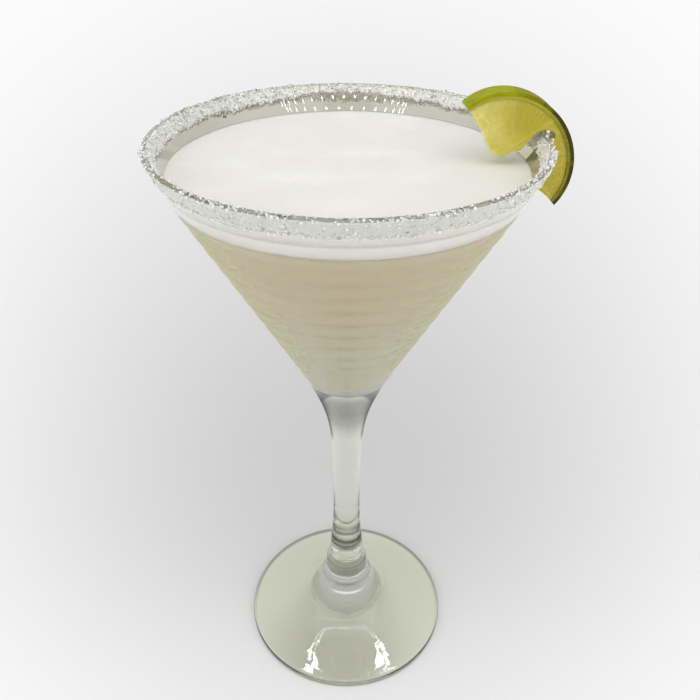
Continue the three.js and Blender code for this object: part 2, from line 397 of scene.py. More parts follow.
@dataclass(frozen=True)
class ClearGlass:
    """Polished soda glass with a faint green-cream tint, and a strong grey at the neck that is painted shade.
    """

    foot: Colour = (0.99, 0.995, 0.955, 1.0)
    skirt: Colour = (0.92, 0.93, 0.80, 1.0)
    knob: Colour = (0.98, 0.985, 0.93, 1.0)
    stem: Colour = (0.93, 0.935, 0.85, 1.0)
    # Painted shade: a strong grey tint for the dark that shows through the neck.
    neck: Colour = (0.385, 0.39, 0.35, 1.0)
    bowl: Colour = (0.975, 0.975, 0.95, 1.0)
    residue: Colour = (0.395, 0.385, 0.28, 1.0)
    juice: Colour = (0.62, 0.59, 0.2, 1.0)
    # Painted shade: the colour that the glass darkens to at the turned-away sides of the foot's edge and the
    # knob.
    turned_edge_shade: Colour = (0.16, 0.165, 0.145, 1.0)
    # Painted shade: the near-black of the lines drawn at the knob's rings and at the neck's turned-away sides.
    painted_shade_line: Colour = (0.05, 0.055, 0.045, 1.0)
    # Painted shade: the olive drawn at the bowl's turned-away sides beside the drink.
    drink_side_shade: Colour = (0.56, 0.54, 0.32, 1.0)
    # Painted shade: the opaque greyish cream drawn on the flare where the clear glass shows the shaded floor.
    flare_shade_colour: Colour = (0.44, 0.445, 0.375, 1.0)
    # Painted highlight: the pale colour of the glint drawn on the front of the flare.
    flare_glint: Colour = (0.97, 0.975, 0.93, 1.0)
    waviness: float = 0.00002

    def tints(self) -> tuple[tuple[float, Colour], ...]:
        """Heights in millimetres and the glass's tint at each."""
        return (
            (8, self.foot), (10, self.skirt), (17, self.skirt), (20, self.knob), (40, self.knob),
            (48, self.stem), (89, self.stem), (96.4, self.neck), (108, self.neck), (112, self.bowl),
        )

    def lines(self) -> tuple[tuple[float, Colour], ...]:
        """Heights in millimetres and the colour of the painted lines on the glass at each: painted shade, and a
        painted glint on the flare.
        """
        return (
            (16.6, self.flare_shade_colour), (17.2, self.flare_glint), (18.6, self.flare_glint),
            (19.4, self.painted_shade_line), (109, self.painted_shade_line), (113, self.drink_side_shade),
        )

    def material(self) -> bpy.types.Material:
        """Clear glass with a film of drink above the foam, and opaque painted lines at its rings and sides:
        painted shade, and a painted glint on the flare.
        """
        shade = Shade("clear_glass")
        # The tint by height; the neck's strong grey is painted shade.
        tint = shade.by_height(shade.axis("Z") + shade.noise(18 * MM, 1.0) * (2 * MM), self.tints())
        wetted = shade.mix(shade.attribute("residue"), tint, self.residue)
        wetted = shade.mix(shade.attribute("juice"), wetted, self.juice)
        # Painted shade: the glass darkens towards its turned-away sides at the foot's edge and the knob.
        thick = shade.attribute("thick_edge") * shade.grazing().step(0.45, 0.95)
        calm = shade.axis("Z").step(3 * MM, 10 * MM, 0.9, 0.0)
        glass = shade.surface(
            Base_Color=shade.mix(thick, wetted, self.turned_edge_shade),
            Roughness=shade.noise(5 * MM, 3.0).step(0.3, 0.8, 0.0, 0.012),
            Normal=shade.bump(shade.noise(7 * MM, 1.0) * (0.12 + calm), self.waviness),
            Transmission_Weight=1.0,
            IOR=1.5,
        )
        line_colour = shade.by_height(shade.axis("Z"), self.lines())
        line = shade.surface(Base_Color=line_colour, Roughness=0.5, Specular_IOR_Level=0.0)
        facing = shade.grazing()
        # Painted shade: dark lines at the knob's rings, and a dark band on the stem where it turns away.
        rings = shade.attribute("ring_line") + shade.attribute("ring_band") * facing.step(0.05, 0.32)
        # Painted shade: the outline draws the neck's and the bowl's turned-away sides opaque and darker.
        cover = shade.attribute("outline") * facing.step(0.55, 0.85) + rings
        mixed = shade.node("ShaderNodeMixShader", None, {0: cover, 1: glass, 2: line})
        return shade.end(mixed.outputs[0])


@dataclass(frozen=True)
class CloudyDrink:
    """Citrus and rum, cloudy enough that nothing shows through."""

    upper: Colour = (0.93, 0.81, 0.59, 1.0)
    lower: Colour = (0.88, 0.875, 0.71, 1.0)
    swirl: Colour = (0.95, 0.875, 0.61, 1.0)
    lees: Colour = (0.88, 0.91, 0.87, 1.0)
    lees_top: float = 112.5 * MM
    bottom: float = 109 * MM
    top: float = 172 * MM

    def material(self) -> bpy.types.Material:
        """Pale cloudy liquid: greener towards the bottom, with slow swirls of pulp."""
        shade = Shade("cloudy_drink")
        height = shade.axis("Z").step(self.bottom, self.top)
        body = shade.mix(height, self.lower, self.upper)
        swirls = shade.noise(14 * MM, 3.0, 0.55, 1.2).step(0.45, 0.8, 0.0, 0.5)
        settled = shade.axis("Z").step(self.lees_top + 1 * MM, self.lees_top - 1 * MM)
        return shade.finish(
            Base_Color=shade.mix(settled, shade.mix(swirls, body, self.swirl), self.lees),
            Roughness=shade.noise(2 * MM).step(0.2, 0.8, 0.25, 0.4),
            Subsurface_Weight=0.35,
            Subsurface_Radius=(1.0, 0.9, 0.6),
            Subsurface_Scale=2.5 * MM,
            IOR=1.34,
        )


@dataclass(frozen=True)
class Froth:
    """Fine white head with a creamy cast."""

    white: Colour = (0.80, 0.79, 0.75, 1.0)
    cream: Colour = (0.785, 0.775, 0.71, 1.0)
    side_painted_light: Colour = (0.15, 0.146, 0.12, 1.0)
    # Painted light: below the side height the foam is paler than its top, and glows.
    side: Colour = (0.99, 0.985, 0.96, 1.0)
    side_height: tuple[float, float] = (176.6 * MM, 175.6 * MM)
    bubble: float = 0.45 * MM

    def material(self) -> bpy.types.Material:
        """Foam: fine bubbles in the bump, cream clouds in the colour, and painted light along its lower side: a
        paler colour and a glow.
        """
        shade = Shade("froth")
        clouds = shade.noise(16 * MM, 4.0, 0.6).step(0.35, 0.75)
        cells = shade.cells(self.bubble)
        height = cells * 0.6 + shade.noise(1.6 * MM, 3.0) * 0.4
        # Painted light: below this height the foam's side is paler and glows.
        below = shade.axis("Z").step(*self.side_height)
        return shade.finish(
            Base_Color=shade.mix(below, shade.mix(clouds, self.white, self.cream), self.side),
            Emission_Color=shade.mix(below, (0.0, 0.0, 0.0, 1.0), self.side_painted_light),
            Emission_Strength=1.0,
            Roughness=cells.step(0.1, 0.8, 0.45, 0.75),
            Normal=shade.bump(height, 0.00008, 0.6),
            Subsurface_Weight=1.0,
            Subsurface_Radius=(1.0, 0.97, 0.88),
            Subsurface_Scale=4 * MM,
        )


@dataclass(frozen=True)
class Crystal:
    """White crystals, some of them half clear."""

    clear: Colour = (0.97, 0.975, 0.89, 1.0)
    frosted: Colour = (1.0, 0.995, 0.92, 1.0)

    def material(self) -> bpy.types.Material:
        """Crystals: each one clearer or more frosted than its neighbours."""
        shade = Shade("crystal")
        kind = shade.attribute("kind")
        return shade.finish(
            Base_Color=shade.mix(kind, self.clear, self.frosted),
            Roughness=kind.step(0.0, 1.0, 0.25, 0.6),
            Normal=shade.bump(shade.noise(0.15 * MM), 0.00002, 0.5),
            Subsurface_Weight=0.9,
            Subsurface_Radius=(1.0, 1.0, 0.95),
            Subsurface_Scale=1.0 * MM,
            IOR=1.45,
        )


@dataclass(frozen=True)
class CrustFilm:
    """Half-dissolved film between the crystals: wet, whitish and half clear."""

    milky: Colour = (1.0, 0.99, 0.87, 1.0)
    clear: Colour = (0.97, 0.98, 0.82, 1.0)
    # Painted shadow: the colour of the dark specks that stand for the crystals' shadows.
    crystal_shadow: Colour = (0.42, 0.42, 0.36, 1.0)

    def material(self) -> bpy.types.Material:
        """Film: milky patches in a clearer ground, dark specks painted as the crystals' shadows, and a grainy
        wet surface.
        """
        shade = Shade("crust_film")
        patches = shade.noise(1.8 * MM, 4.0, 0.65)
        grain = shade.noise(0.4 * MM, 3.0, 0.6)
        cover = shade.attribute("rise") * 1.3 + shade.noise(2.2 * MM, 4.0, 0.7)
        ground = shade.mix(patches.step(0.35, 0.65), self.clear, self.milky)
        # Painted shadow: dark specks for the shadows that the crystals cast.
        specks = shade.cells(1.1 * MM).step(0.14, 0.26, 1.0, 0.0) * shade.noise(4 * MM).step(0.45, 0.6)
        return shade.finish(
            Base_Color=shade.mix(specks * 0.8, ground, self.crystal_shadow),
            Alpha=cover.step(0.45, 0.85),
            Roughness=grain.step(0.3, 0.7, 0.3, 0.55),
            Normal=shade.bump(grain, 0.00006, 0.6),
            Transmission_Weight=0.12,
            Subsurface_Weight=0.8,
            Subsurface_Radius=(1.0, 1.0, 0.95),
            Subsurface_Scale=0.5 * MM,
            IOR=1.4,
        )


@dataclass(frozen=True)
class LimeSkin:
    """Glossy green rind, yellower on top and dark at the side, where the dark is painted shade."""

    bright: Colour = srgb(160, 164, 4)
    deep: Colour = srgb(66, 64, 5)
    spot: Colour = srgb(214, 205, 40)

    def material(self) -> bpy.types.Material:
        """Rind: oil glands in the bump, green that deepens towards the outer side as painted shade."""
        shade = Shade("lime_skin")
        # Painted shade: the rind darkens towards the outer side.
        across = shade.axis("X").step(38 * MM, 55 * MM)
        blotches = shade.noise(4 * MM, 3.0, 0.6).step(0.3, 0.7, -0.25, 0.25)
        green = shade.mix(across + blotches, self.bright, self.deep)
        glands = shade.cells(0.9 * MM)
        specks = glands.step(0.0, 0.22, 0.35, 0.0)
        return shade.finish(
            Base_Color=shade.mix(specks, green, self.spot),
            Roughness=shade.noise(1.5 * MM).step(0.2, 0.8, 0.35, 0.6),
            Specular_IOR_Level=0.1,
            Normal=shade.bump(glands.step(0.0, 0.6), 0.00012, 0.7),
        )


@dataclass(frozen=True)
class LimePith:
    """Thin pale layer between skin and flesh."""

    pale: Colour = srgb(188, 180, 40)
    green: Colour = srgb(170, 160, 34)
    deep: Colour = srgb(120, 108, 12)

    def material(self) -> bpy.types.Material:
        """Pith: spongy, pale at the top and olive at the outer side, where the olive is painted shade."""
        shade = Shade("lime_pith")
        fibres = shade.noise(0.5 * MM, 3.0, 0.6)
        # Painted shade: the pith darkens towards the outer side.
        pale = shade.mix(shade.axis("X").step(46 * MM, 56 * MM), self.pale, self.deep)
        return shade.finish(
            Base_Color=shade.mix(fibres.step(0.35, 0.65), pale, shade.mix(0.4, self.green, pale)),
            Roughness=fibres.step(0.2, 0.8, 0.4, 0.6),
            Normal=shade.bump(fibres, 0.00008, 0.6),
            Subsurface_Weight=0.3,
            Subsurface_Scale=1 * MM,
        )


@dataclass(frozen=True)
class LimeFlesh:
    """Wet, see-through juice cells between pale membranes."""

    pale: Colour = srgb(228, 218, 124)
    ripe: Colour = srgb(190, 178, 44)
    deep: Colour = srgb(190, 175, 38)
    membrane: Colour = srgb(224, 214, 130)

    def material(self) -> bpy.types.Material:
        """Flesh: cells and membranes follow attributes on the mesh, deeper outside the glass, where the deeper
        colour is painted shade on the outer arm.
        """
        shade = Shade("lime_flesh")
        across = (shade.axis("X") + shade.noise(8 * MM, 2.0) * (12 * MM)).step(38 * MM, 52 * MM)
        # Painted shade: the flesh deepens outside the glass, on the outer arm.
        outside = shade.axis("X").step(46 * MM, 53 * MM)
        body = shade.mix(outside, shade.mix(across, self.pale, self.ripe), self.deep)
        cell = shade.attribute("cell")
        tone = shade.noise(4 * MM, 3.0, 0.6).step(0.3, 0.7, -0.25, 0.3)
        juicy = shade.mix(cell * 0.12 + tone, body, self.deep)
        web = shade.attribute("web")
        return shade.finish(
            Base_Color=shade.mix(web * 0.2, juicy, self.membrane),
            Roughness=shade.noise(0.8 * MM).step(0.2, 0.8, 0.12, 0.35),
            Normal=shade.bump(shade.noise(0.35 * MM, 3.0), 0.00006, 0.6),
            Subsurface_Weight=0.5,
            Subsurface_Radius=(1.0, 0.85, 0.3),
            Subsurface_Scale=2.5 * MM,
            Coat_Weight=0.4,
            Coat_Roughness=0.1,
        )


@dataclass(frozen=True)
class Floor:
    """Pale seamless floor with painted shade: greyer in a soft pool round the glass, painted light and shade
    under the foot with a shadow ring at its edge, a painted contact shadow under the stem, and grey again far
    away.
    """

    # Painted shade: the greyer pool round the glass.
    pool: Colour = (0.66, 0.66, 0.662, 1.0)
    pale: Colour = (0.975, 0.975, 0.98, 1.0)
    distant: Colour = (0.3, 0.3, 0.3, 1.0)
    before: Colour = (0.12, 0.12, 0.12, 1.0)
    before_from: tuple[float, float] = (-0.4, -0.75)
    pool_centre: float = 0.1185
    pool_point: float = 0.349
    pool_spread: float = 0.63
    nearest: float = 0.08
    fade: tuple[float, float] = (1.7, 2.6)
    # Painted light and shade under the foot: a paler patch, with the shaded colour towards its front.
    cream: Colour = (0.88, 0.885, 0.80, 1.0)
    shaded: Colour = (0.66, 0.665, 0.58, 1.0)
    shaded_middle: float = -0.026
    shaded_left: float = 0.004
    shaded_reach: tuple[float, float] = (0.008, 0.036)
    rim_shadow: Colour = (0.42, 0.42, 0.38, 1.0)
    rim_shadow_reach: tuple[float, float, float] = (0.0343, 0.0354, 0.0362)
    # Painted shadow: a near-black spot on the floor right under the stem.
    contact_shadow_colour: Colour = (0.05, 0.05, 0.045, 1.0)
    contact_shadow_reach: tuple[float, float] = (0.002, 0.0045)

    def material(self) -> bpy.types.Material:
        """Matt floor: the pool of painted shade is a wedge of ovals that widen with distance from a point in
        front.
        """
        shade = Shade("pale_floor")
        x, y = shade.axis("X"), shade.axis("Y")
        ahead = (y + self.pool_point).at_least(self.nearest)
        across = x / (ahead * self.pool_spread)
        along = (self.pool_centre - y) / ahead
        spread = (across * across + along * along) ** 0.5
        distance = (x * x + y * y) ** 0.5
        # Painted shade: the greyer pool round the glass.
        near = shade.mix(spread.step(0.0, 1.0), self.pool, self.pale)
        # Painted light and shade under the foot, with a painted shadow ring at its edge.
        lower, left = y - self.shaded_middle, x + self.shaded_left
        light = ((left * left + lower * lower) ** 0.5).step(*self.shaded_reach)
        under_foot = shade.mix(light, self.shaded, self.cream)
        # Painted contact shadow under the stem.
        under_foot = shade.mix(distance.step(*self.contact_shadow_reach), self.contact_shadow_colour, under_foot)
        start, dark, end = self.rim_shadow_reach
        edged = shade.mix(distance.step(start, dark), under_foot, self.rim_shadow)
        near = shade.mix(distance.step(dark, end), edged, near)
        near = shade.mix(y.step(*self.before_from), near, self.before)
        return shade.finish(
            Base_Color=shade.mix(distance.step(*self.fade), near, self.distant),
            Roughness=0.9,
            Specular_IOR_Level=0.0,
        )


# Meshes


NO_TRIANGLES = np.zeros((0, 3), int)
BOX_CORNERS = np.array([(x, y, z) for z in (-1, 1) for x, y in ((-1, -1), (1, -1), (1, 1), (-1, 1))], float)
BOX_FACES = np.array([(0, 3, 2, 1), (4, 5, 6, 7), (0, 1, 5, 4), (1, 2, 6, 5), (2, 3, 7, 6), (3, 0, 4, 7)])


class Ends(Enum):
    """How a grid of points closes along its rows."""

    LOOP = "loop"
    POLES = "poles"


@dataclass
class Skin:
    """A surface on a grid of points: rows run along it, and columns run round it and close.

    Attributes:
        points: The places, shaped rows by columns by 3.
        ends: How the rows close: LOOP joins the last to the first, POLES draws the first and last to a point.
    """

    points: np.ndarray
    ends: Ends

    def faces(self) -> tuple[np.ndarray, np.ndarray]:
        """Corners of the squares, and of the triangles at the poles.

        Returns:
            Two arrays of vertex numbers, four and three to a row.
        """
        rows, columns = self.points.shape[:2]
        number = np.arange(rows * columns).reshape(rows, columns)
        down = np.roll(number, -1, axis=0)
        right = np.roll(number, -1, axis=1)
        across = np.roll(down, -1, axis=1)
        quads = np.stack([number, right, across, down], axis=-1)
        if self.ends is Ends.LOOP:
            return quads.reshape(-1, 4), NO_TRIANGLES
        top = np.stack([right[1], number[1], np.full(columns, number[0, 0])], axis=-1)
        low = np.stack([number[-2], right[-2], np.full(columns, number[-1, 0])], axis=-1)
        return quads[1:-2].reshape(-1, 4), np.concatenate([top, low])

    def mesh(self, name: str, marks: dict[str, np.ndarray] | None = None) -> bpy.types.Mesh:
        """Puts the grid into a mesh whose faces point outwards.

        Args:
            name: The mesh's name.
            marks: Numbers to store on the vertices, by name.

        Returns:
            The mesh.
        """
        quads, tris = self.faces()
        return make_mesh(name, self.points.reshape(-1, 3), quads, tris, marks)


def make_mesh(
    name: str,
    points: np.ndarray,
    quads: np.ndarray,
    tris: np.ndarray = NO_TRIANGLES,
    marks: dict[str, np.ndarray] | None = None,
) -> bpy.types.Mesh:
    """Makes a smooth mesh from arrays, dropping points that no face uses.

    Args:
        name: The mesh's name.
        points: Places, three to a row.
        quads: Vertex numbers, four to a row.
        tris: Vertex numbers, three to a row.
        marks: Numbers to store on the vertices, by name.

    Returns:
        The mesh, with its faces pointing outwards.
    """
    halves = np.concatenate([quads[:, [0, 1, 2]], quads[:, [0, 2, 3]], tris])
    corner = points[halves]
    volume = np.einsum("ij,ij->i", corner[:, 0], np.cross(corner[:, 1], corner[:, 2])).sum()
    if volume < 0:
        quads = quads[:, ::-1]
        tris = tris[:, ::-1]
    used = np.unique(np.concatenate([quads.ravel(), tris.ravel()]))
    renumber = np.zeros(len(points), int)
    renumber[used] = np.arange(len(used))
    corners = renumber[np.concatenate([quads.ravel(), tris.ravel()])].astype(np.int32)
    starts = np.concatenate([np.arange(len(quads)) * 4, len(quads) * 4 + np.arange(len(tris)) * 3])
    mesh = bpy.data.meshes.new(name)
    mesh.vertices.add(len(used))
    mesh.vertices.foreach_set("co", points[used].astype(np.float32).ravel())
    mesh.loops.add(len(corners))
    mesh.loops.foreach_set("vertex_index", corners)
    mesh.polygons.add(len(starts))
    mesh.polygons.foreach_set("loop_start", starts.astype(np.int32))
    mesh.update(calc_edges=True)
    mesh.shade_smooth()
    for key, numbers in (marks or {}).items():
        stored = mesh.attributes.new(key, "FLOAT", "POINT")
        stored.data.foreach_set("value", numbers.reshape(-1)[used].astype(np.float32))
    return mesh


def blocks(name: str, corners: np.ndarray, marks: dict[str, np.ndarray] | None = None) -> bpy.types.Mesh:
    """Makes many small boxes as one mesh with flat faces.

    Args:
        name: The mesh's name.
        corners: The eight corners of each box in the order of BOX_CORNERS, shaped boxes by 8 by 3.
        marks: Numbers to store on the corners, by name.

    Returns:
        The mesh.
    """
    quads = (BOX_FACES[None] + 8 * np.arange(len(corners))[:, None, None]).reshape(-1, 4)
    mesh = make_mesh(name, corners.reshape(-1, 3), quads, marks=marks)
    mesh.shade_flat()
    return mesh


def placed(mesh: bpy.types.Mesh, material: bpy.types.Material) -> bpy.types.Object:
    """Puts a mesh into the scene with its finish, under the mesh's own name."""
    mesh.materials.append(material)
    thing = bpy.data.objects.new(mesh.name, mesh)
    bpy.context.scene.collection.objects.link(thing)
    return thing


def add_piece(mesh: bpy.types.Mesh, material: bpy.types.Material, slot: str, *nodes: str) -> bpy.types.Object:
    """Adds a mesh to the scene as a piece of the object.

    Args:
        mesh: Its mesh, in place.
        material: Its finish.
        slot: Not used.
        nodes: The model's nodes that it stands for.

    Returns:
        The piece.
    """
    piece = placed(mesh, material)
    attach(piece, BODY)
    if nodes:
        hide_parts(*nodes)
    LOG.info("%s: %d faces", piece.name, len(mesh.polygons))
    return piece


def turned(profile: np.ndarray, columns: int) -> np.ndarray:
    """Turns a profile round the glass axis: (r cos a, r sin a, z) for each step of angle a.

    Args:
        profile: Radius and height, two to a row.
        columns: Steps round the axis.

    Returns:
        A grid of points, profile along its rows.
    """
    angle = np.linspace(0, 2 * np.pi, columns, endpoint=False)
    return round_axis(profile[:, :1], angle, profile[:, 1:])


def curve_through(stations: np.ndarray, count: int) -> np.ndarray:
    """A smooth curve through points, by cubic pieces whose slope at a point joins its neighbours.

    Args:
        stations: The points, one to a row.
        count: How many points come back, evenly spaced from station to station.

    Returns:
        Points on the curve.
    """
    before = 2 * stations[0] - stations[1]
    after = 2 * stations[-1] - stations[-2]
    knots = np.vstack([before, stations, after])
    place = np.linspace(0, len(stations) - 1 - 1e-9, count)
    number = place.astype(int)
    t = (place - number)[:, None]
    p0, p1, p2, p3 = (knots[number + step] for step in range(4))
    return 0.5 * (
        2 * p1 + (p2 - p0) * t + (2 * p0 - 5 * p1 + 4 * p2 - p3) * t**2 + (3 * p1 - p0 - 3 * p2 + p3) * t**3
    )


@dataclass
class Glass:
    """The glass: foot, flared knob, stem, neck and bowl with pressed rings, as one turned wall.

    Sizes are in millimetres, and heights count from the foot's underside.
    """

    foot_radius: float = 35.9
    foot_edge: float = 1.25
    foot_top: float = 2.5
    stem_bottom: float = 31.5
    stem_radius: float = 4.44
    stem_widens_below: float = 62
    stem_widening: float = 0.00165
    neck_height: float = 96.3
    neck_softness: float = 6.9
    cone_slope: float = 0.5447
    rim_height: float = 184.2
    rim_curve_from: float = 166
    rim_curve_in: float = 1.0
    rim_round: float = 0.6
    wall_rim: float = 1.55
    wall_foot: float = 2.2
    wall_fade: float = 14
    cavity_bottom: float = 108.7
    cavity_round: float = 9.4
    ripple_pitch: float = 5.33
    ripple_depth: float = 0.1
    ripple_crest: float = 165.3
    ripple_low: float = 129
    ripple_high: float = 172
    seam_at: float = 114.4
    seam_height: float = 0.22
    seam_width: float = 0.4
    columns: int = 160

    def flare(self) -> np.ndarray:
        """Radius and height of the points where the foot rises into the stem."""
        return np.array([
            (32, 2.7), (28, 3.15), (24, 3.9), (20, 5.1), (16.5, 6.8), (13.8, 8.9), (12.0, 11.4), (11.3, 14.2),
            (10.3, 17.0), (8.8, 19.9), (7.6, 22.6), (7.35, 25.4), (6.95, 28.0), (6.05, 29.9),
        ])

    def stem(self, z: np.ndarray) -> np.ndarray:
        """Outer radius: a stem that swells downwards, turning softly into a straight cone."""
        below = np.maximum(0, self.stem_widens_below - z)
        above = np.log1p(np.exp((z - self.neck_height) / self.neck_softness))
        return self.stem_radius + self.stem_widening * below**2 + self.cone_slope * self.neck_softness * above

    def bowl(self, z: np.ndarray) -> np.ndarray:
        """Outer radius without rings: the cone, drawn in a little towards the rim."""
        rise = np.maximum(0, (z - self.rim_curve_from) / (self.rim_height - self.rim_curve_from))
        return self.stem(z) - self.rim_curve_in * rise**2

    def rings(self, z: np.ndarray) -> np.ndarray:
        """Height of the pressed rings, a cosine that fades out at both ends, and of the seam below them."""
        fade = band(z, self.ripple_low - 4, self.ripple_low, self.ripple_high, self.ripple_high + 3)
        wave = self.ripple_depth * fade * np.cos(2 * np.pi * (z - self.ripple_crest) / self.ripple_pitch)
        return wave + self.seam_height * peak(z, self.seam_at, self.seam_width)

    def cavity(self, z: np.ndarray) -> np.ndarray:
        """Inner radius: the wall is thickest at the bottom of the bowl."""
        return self.bowl(z) - self.wall_rim - self.wall_foot * np.exp((self.cavity_bottom - z) / self.wall_fade)

    def cavity_profile(self, top: float, grown: float = 0.0, count: int = 60) -> np.ndarray:
        """The cavity's wall from the axis up to a height.

        Args:
            top: Height where it ends.
            grown: How far it is moved into the glass.
            count: Points on the straight part.

        Returns:
            Radius and height, two to a row.
        """
        heights = np.linspace(self.cavity_bottom, self.rim_height, 2000)
        join = np.interp(self.cavity_round, self.cavity(heights), heights)
        share = np.linspace(0, 1, 16)
        floor = np.stack([
            share * (self.cavity_round + grown),
            join - (1 - share**2) * (join - self.cavity_bottom) - grown * (1 - share * 0.5),
        ], axis=-1)
        rise = np.linspace(join + 0.6, top, count)
        return np.vstack([floor, np.stack([self.cavity(rise) + grown, rise], axis=-1)])

    def foot_profile(self) -> np.ndarray:
        """Flat underside, the rounded edge, and the rise into the stem."""
        flat = self.foot_radius - self.foot_edge
        under = np.array([(0.0, 0.0), (0.4, 0.0), (0.8, 0.0), (0.97, 0.0)]) * flat
        angle = np.linspace(-np.pi / 2, np.pi / 2, 14)
        edge = np.stack([
            flat + self.foot_edge * np.cos(angle),
            self.foot_top / 2 * (1 + np.sin(angle)),
        ], axis=-1)
        start = np.array([[self.stem(np.array(self.stem_bottom)), self.stem_bottom]])
        rise = curve_through(np.vstack([edge[-1:], self.flare(), start]), 151)
        return np.vstack([under, edge, rise[1:]])

    def profile(self) -> np.ndarray:
        """The whole closed outline, from the axis at the foot round to the axis in the bowl."""
        bowl_from = self.seam_at - 4
        stem = np.linspace(self.stem_bottom + 0.6, bowl_from, 64)
        bowl = np.linspace(bowl_from + 0.35, self.rim_height - self.rim_round, 190)
        outside = np.vstack([
            np.stack([self.stem(stem), stem], axis=-1),
            np.stack([self.bowl(bowl) + self.rings(bowl), bowl], axis=-1),
        ])
        top = self.rim_height - self.rim_round
        outer, inner = float(self.bowl(np.array(top))), float(self.cavity(np.array(top)))
        angle = np.linspace(0, np.pi, 13)[1:-1]
        middle, half = (outer + inner) / 2, (outer - inner) / 2
        lip = np.stack([middle + half * np.cos(angle), top + self.rim_round * np.sin(angle)], axis=-1)
        inside = self.cavity_profile(top)[::-1]
        return np.vstack([self.foot_profile(), outside, lip, inside])

    def build(self, foam_top: float) -> bpy.types.Object:
        """Makes the glass in place of its node.

        Args:
            foam_top: Height of the foam, where the film on the wall begins.

        Returns:
            The glass.
        """
        points = turned(self.profile(), self.columns)
        mesh = Skin(points * MM, Ends.POLES).mesh("clear_glass", GlassMarks(self, foam_top).numbers(points))
        return add_piece(mesh, ClearGlass().material(), "glass", "glass")


@dataclass
class GlassMarks:
    """Where films, painted shade and a painted glint are drawn on the glass, as numbers from 0 to 1 stored on
    its points.

    Sizes are in millimetres. A band is the heights where it begins, is full, ebbs and ends. A ring is the
    height of its middle, its half height and its strength.
    """

    glass: Glass
    foam_top: float
    film_thin: float = 0.14
    film_thick_from: tuple[float, float] = (-36, -14)
    film_below_rim: tuple[float, float] = (3.5, 2)
    juice_strength: float = 0.8
    juice_middle: float = 0.5
    juice_half: float = 5.5
    juice_from: tuple[float, float] = (176, 177.5)
    foot_dark: float = 0.35
    foot_side: tuple[float, float] = (3, 8)
    knob_dark: float = 0.45
    knob_side: Band = (12, 20, 44, 52)
    neck_dark: float = 0.75
    neck_side: Band = (84, 88, 103, 110)
    bowl_dark: float = 0.65
    bowl_side: Band = (117, 123, 171, 174)
    # Painted shade: dark lines round the knob and a dark band on the stem.
    knob_shade_rings: tuple[Ring, ...] = ((36.8, 0.6, 0.95), (27.6, 0.4, 0.4), (20.2, 0.5, 0.3))
    knob_shade_peak: Ring = (39.4, 1.3, 1.0)
    # Painted shade: an opaque greyish-cream band drawn on the flare.
    flare_shade_share: float = 0.55
    flare_shade_heights: Band = (8.5, 11, 15.5, 16.6)
    # Painted highlight: a bright line drawn on the front of the flare.
    glint: Ring = (17.6, 0.45, 0.6)
    glint_middle: float = 0.6
    glint_half: float = 5.5

    def numbers(self, points: np.ndarray) -> dict[str, np.ndarray]:
        """All the numbers by name.

        Args:
            points: The glass's points in millimetres.

        Returns:
            The numbers, one for each point, under the names that the finish reads.
        """
        x, y, z = points[..., 0], points[..., 1], points[..., 2]
        inside = np.hypot(x, y) < self.glass.cavity(z) + 0.1
        outside = np.hypot(x, y) > self.glass.cavity(z) + 0.5
        middle, half, strength = self.knob_shade_peak
        return {
            "residue": inside * self.film(y, z),
            "juice": inside * self.beside_lime(x, y, z),
            "thick_edge": self.thick_edge(z),
            "outline": outside * self.outline(z),
            "ring_line": self.ring_line(x, y, z),
            "ring_band": strength * peak(z, middle, half),
        }

    def film(self, y: np.ndarray, z: np.ndarray) -> np.ndarray:
        """Where drink has wetted the wall: from the foam to the crust, thinly in front."""
        start, end = (self.glass.rim_height - below for below in self.film_below_rim)
        height = band(z, self.foam_top - 1, self.foam_top, start, end)
        return height * (self.film_thin + (1 - self.film_thin) * smooth(y, *self.film_thick_from))

    def beside_lime(self, x: np.ndarray, y: np.ndarray, z: np.ndarray) -> np.ndarray:
        """Where the wall beside the lime takes on its colour, above the foam."""
        across = (x > 0) * peak(y, self.juice_middle, self.juice_half, 4)
        return self.juice_strength * across * smooth(z, *self.juice_from)

    def thick_edge(self, z: np.ndarray) -> np.ndarray:
        """Painted shade: where the sides darken as they turn away, though still clear: the foot's edge and the
        knob.
        """
        return self.foot_dark * (1 - smooth(z, *self.foot_side)) + self.knob_dark * band(z, *self.knob_side)

    def outline(self, z: np.ndarray) -> np.ndarray:
        """Painted shade: where the outer face is drawn opaque in a darker colour as it turns away: the neck,
        and the bowl beside the drink.
        """
        return self.neck_dark * band(z, *self.neck_side) + self.bowl_dark * band(z, *self.bowl_side)

    def ring_line(self, x: np.ndarray, y: np.ndarray, z: np.ndarray) -> np.ndarray:
        """How far painted lines are drawn: painted shade as dark lines at the knob's rings and as a
        greyish-cream band on the flare, and a painted glint in front.
        """
        rings = sum(strength * peak(z, middle, half) for middle, half, strength in self.knob_shade_rings)
        # Painted shade on the flare, and below it a painted glint in front.
        flare = self.flare_shade_share * band(z, *self.flare_shade_heights)
        middle, half, strength = self.glint
        across = (y < 0) * peak(x, self.glint_middle, self.glint_half, 4)
        return rings + flare + strength * across * peak(z, middle, half, 4)


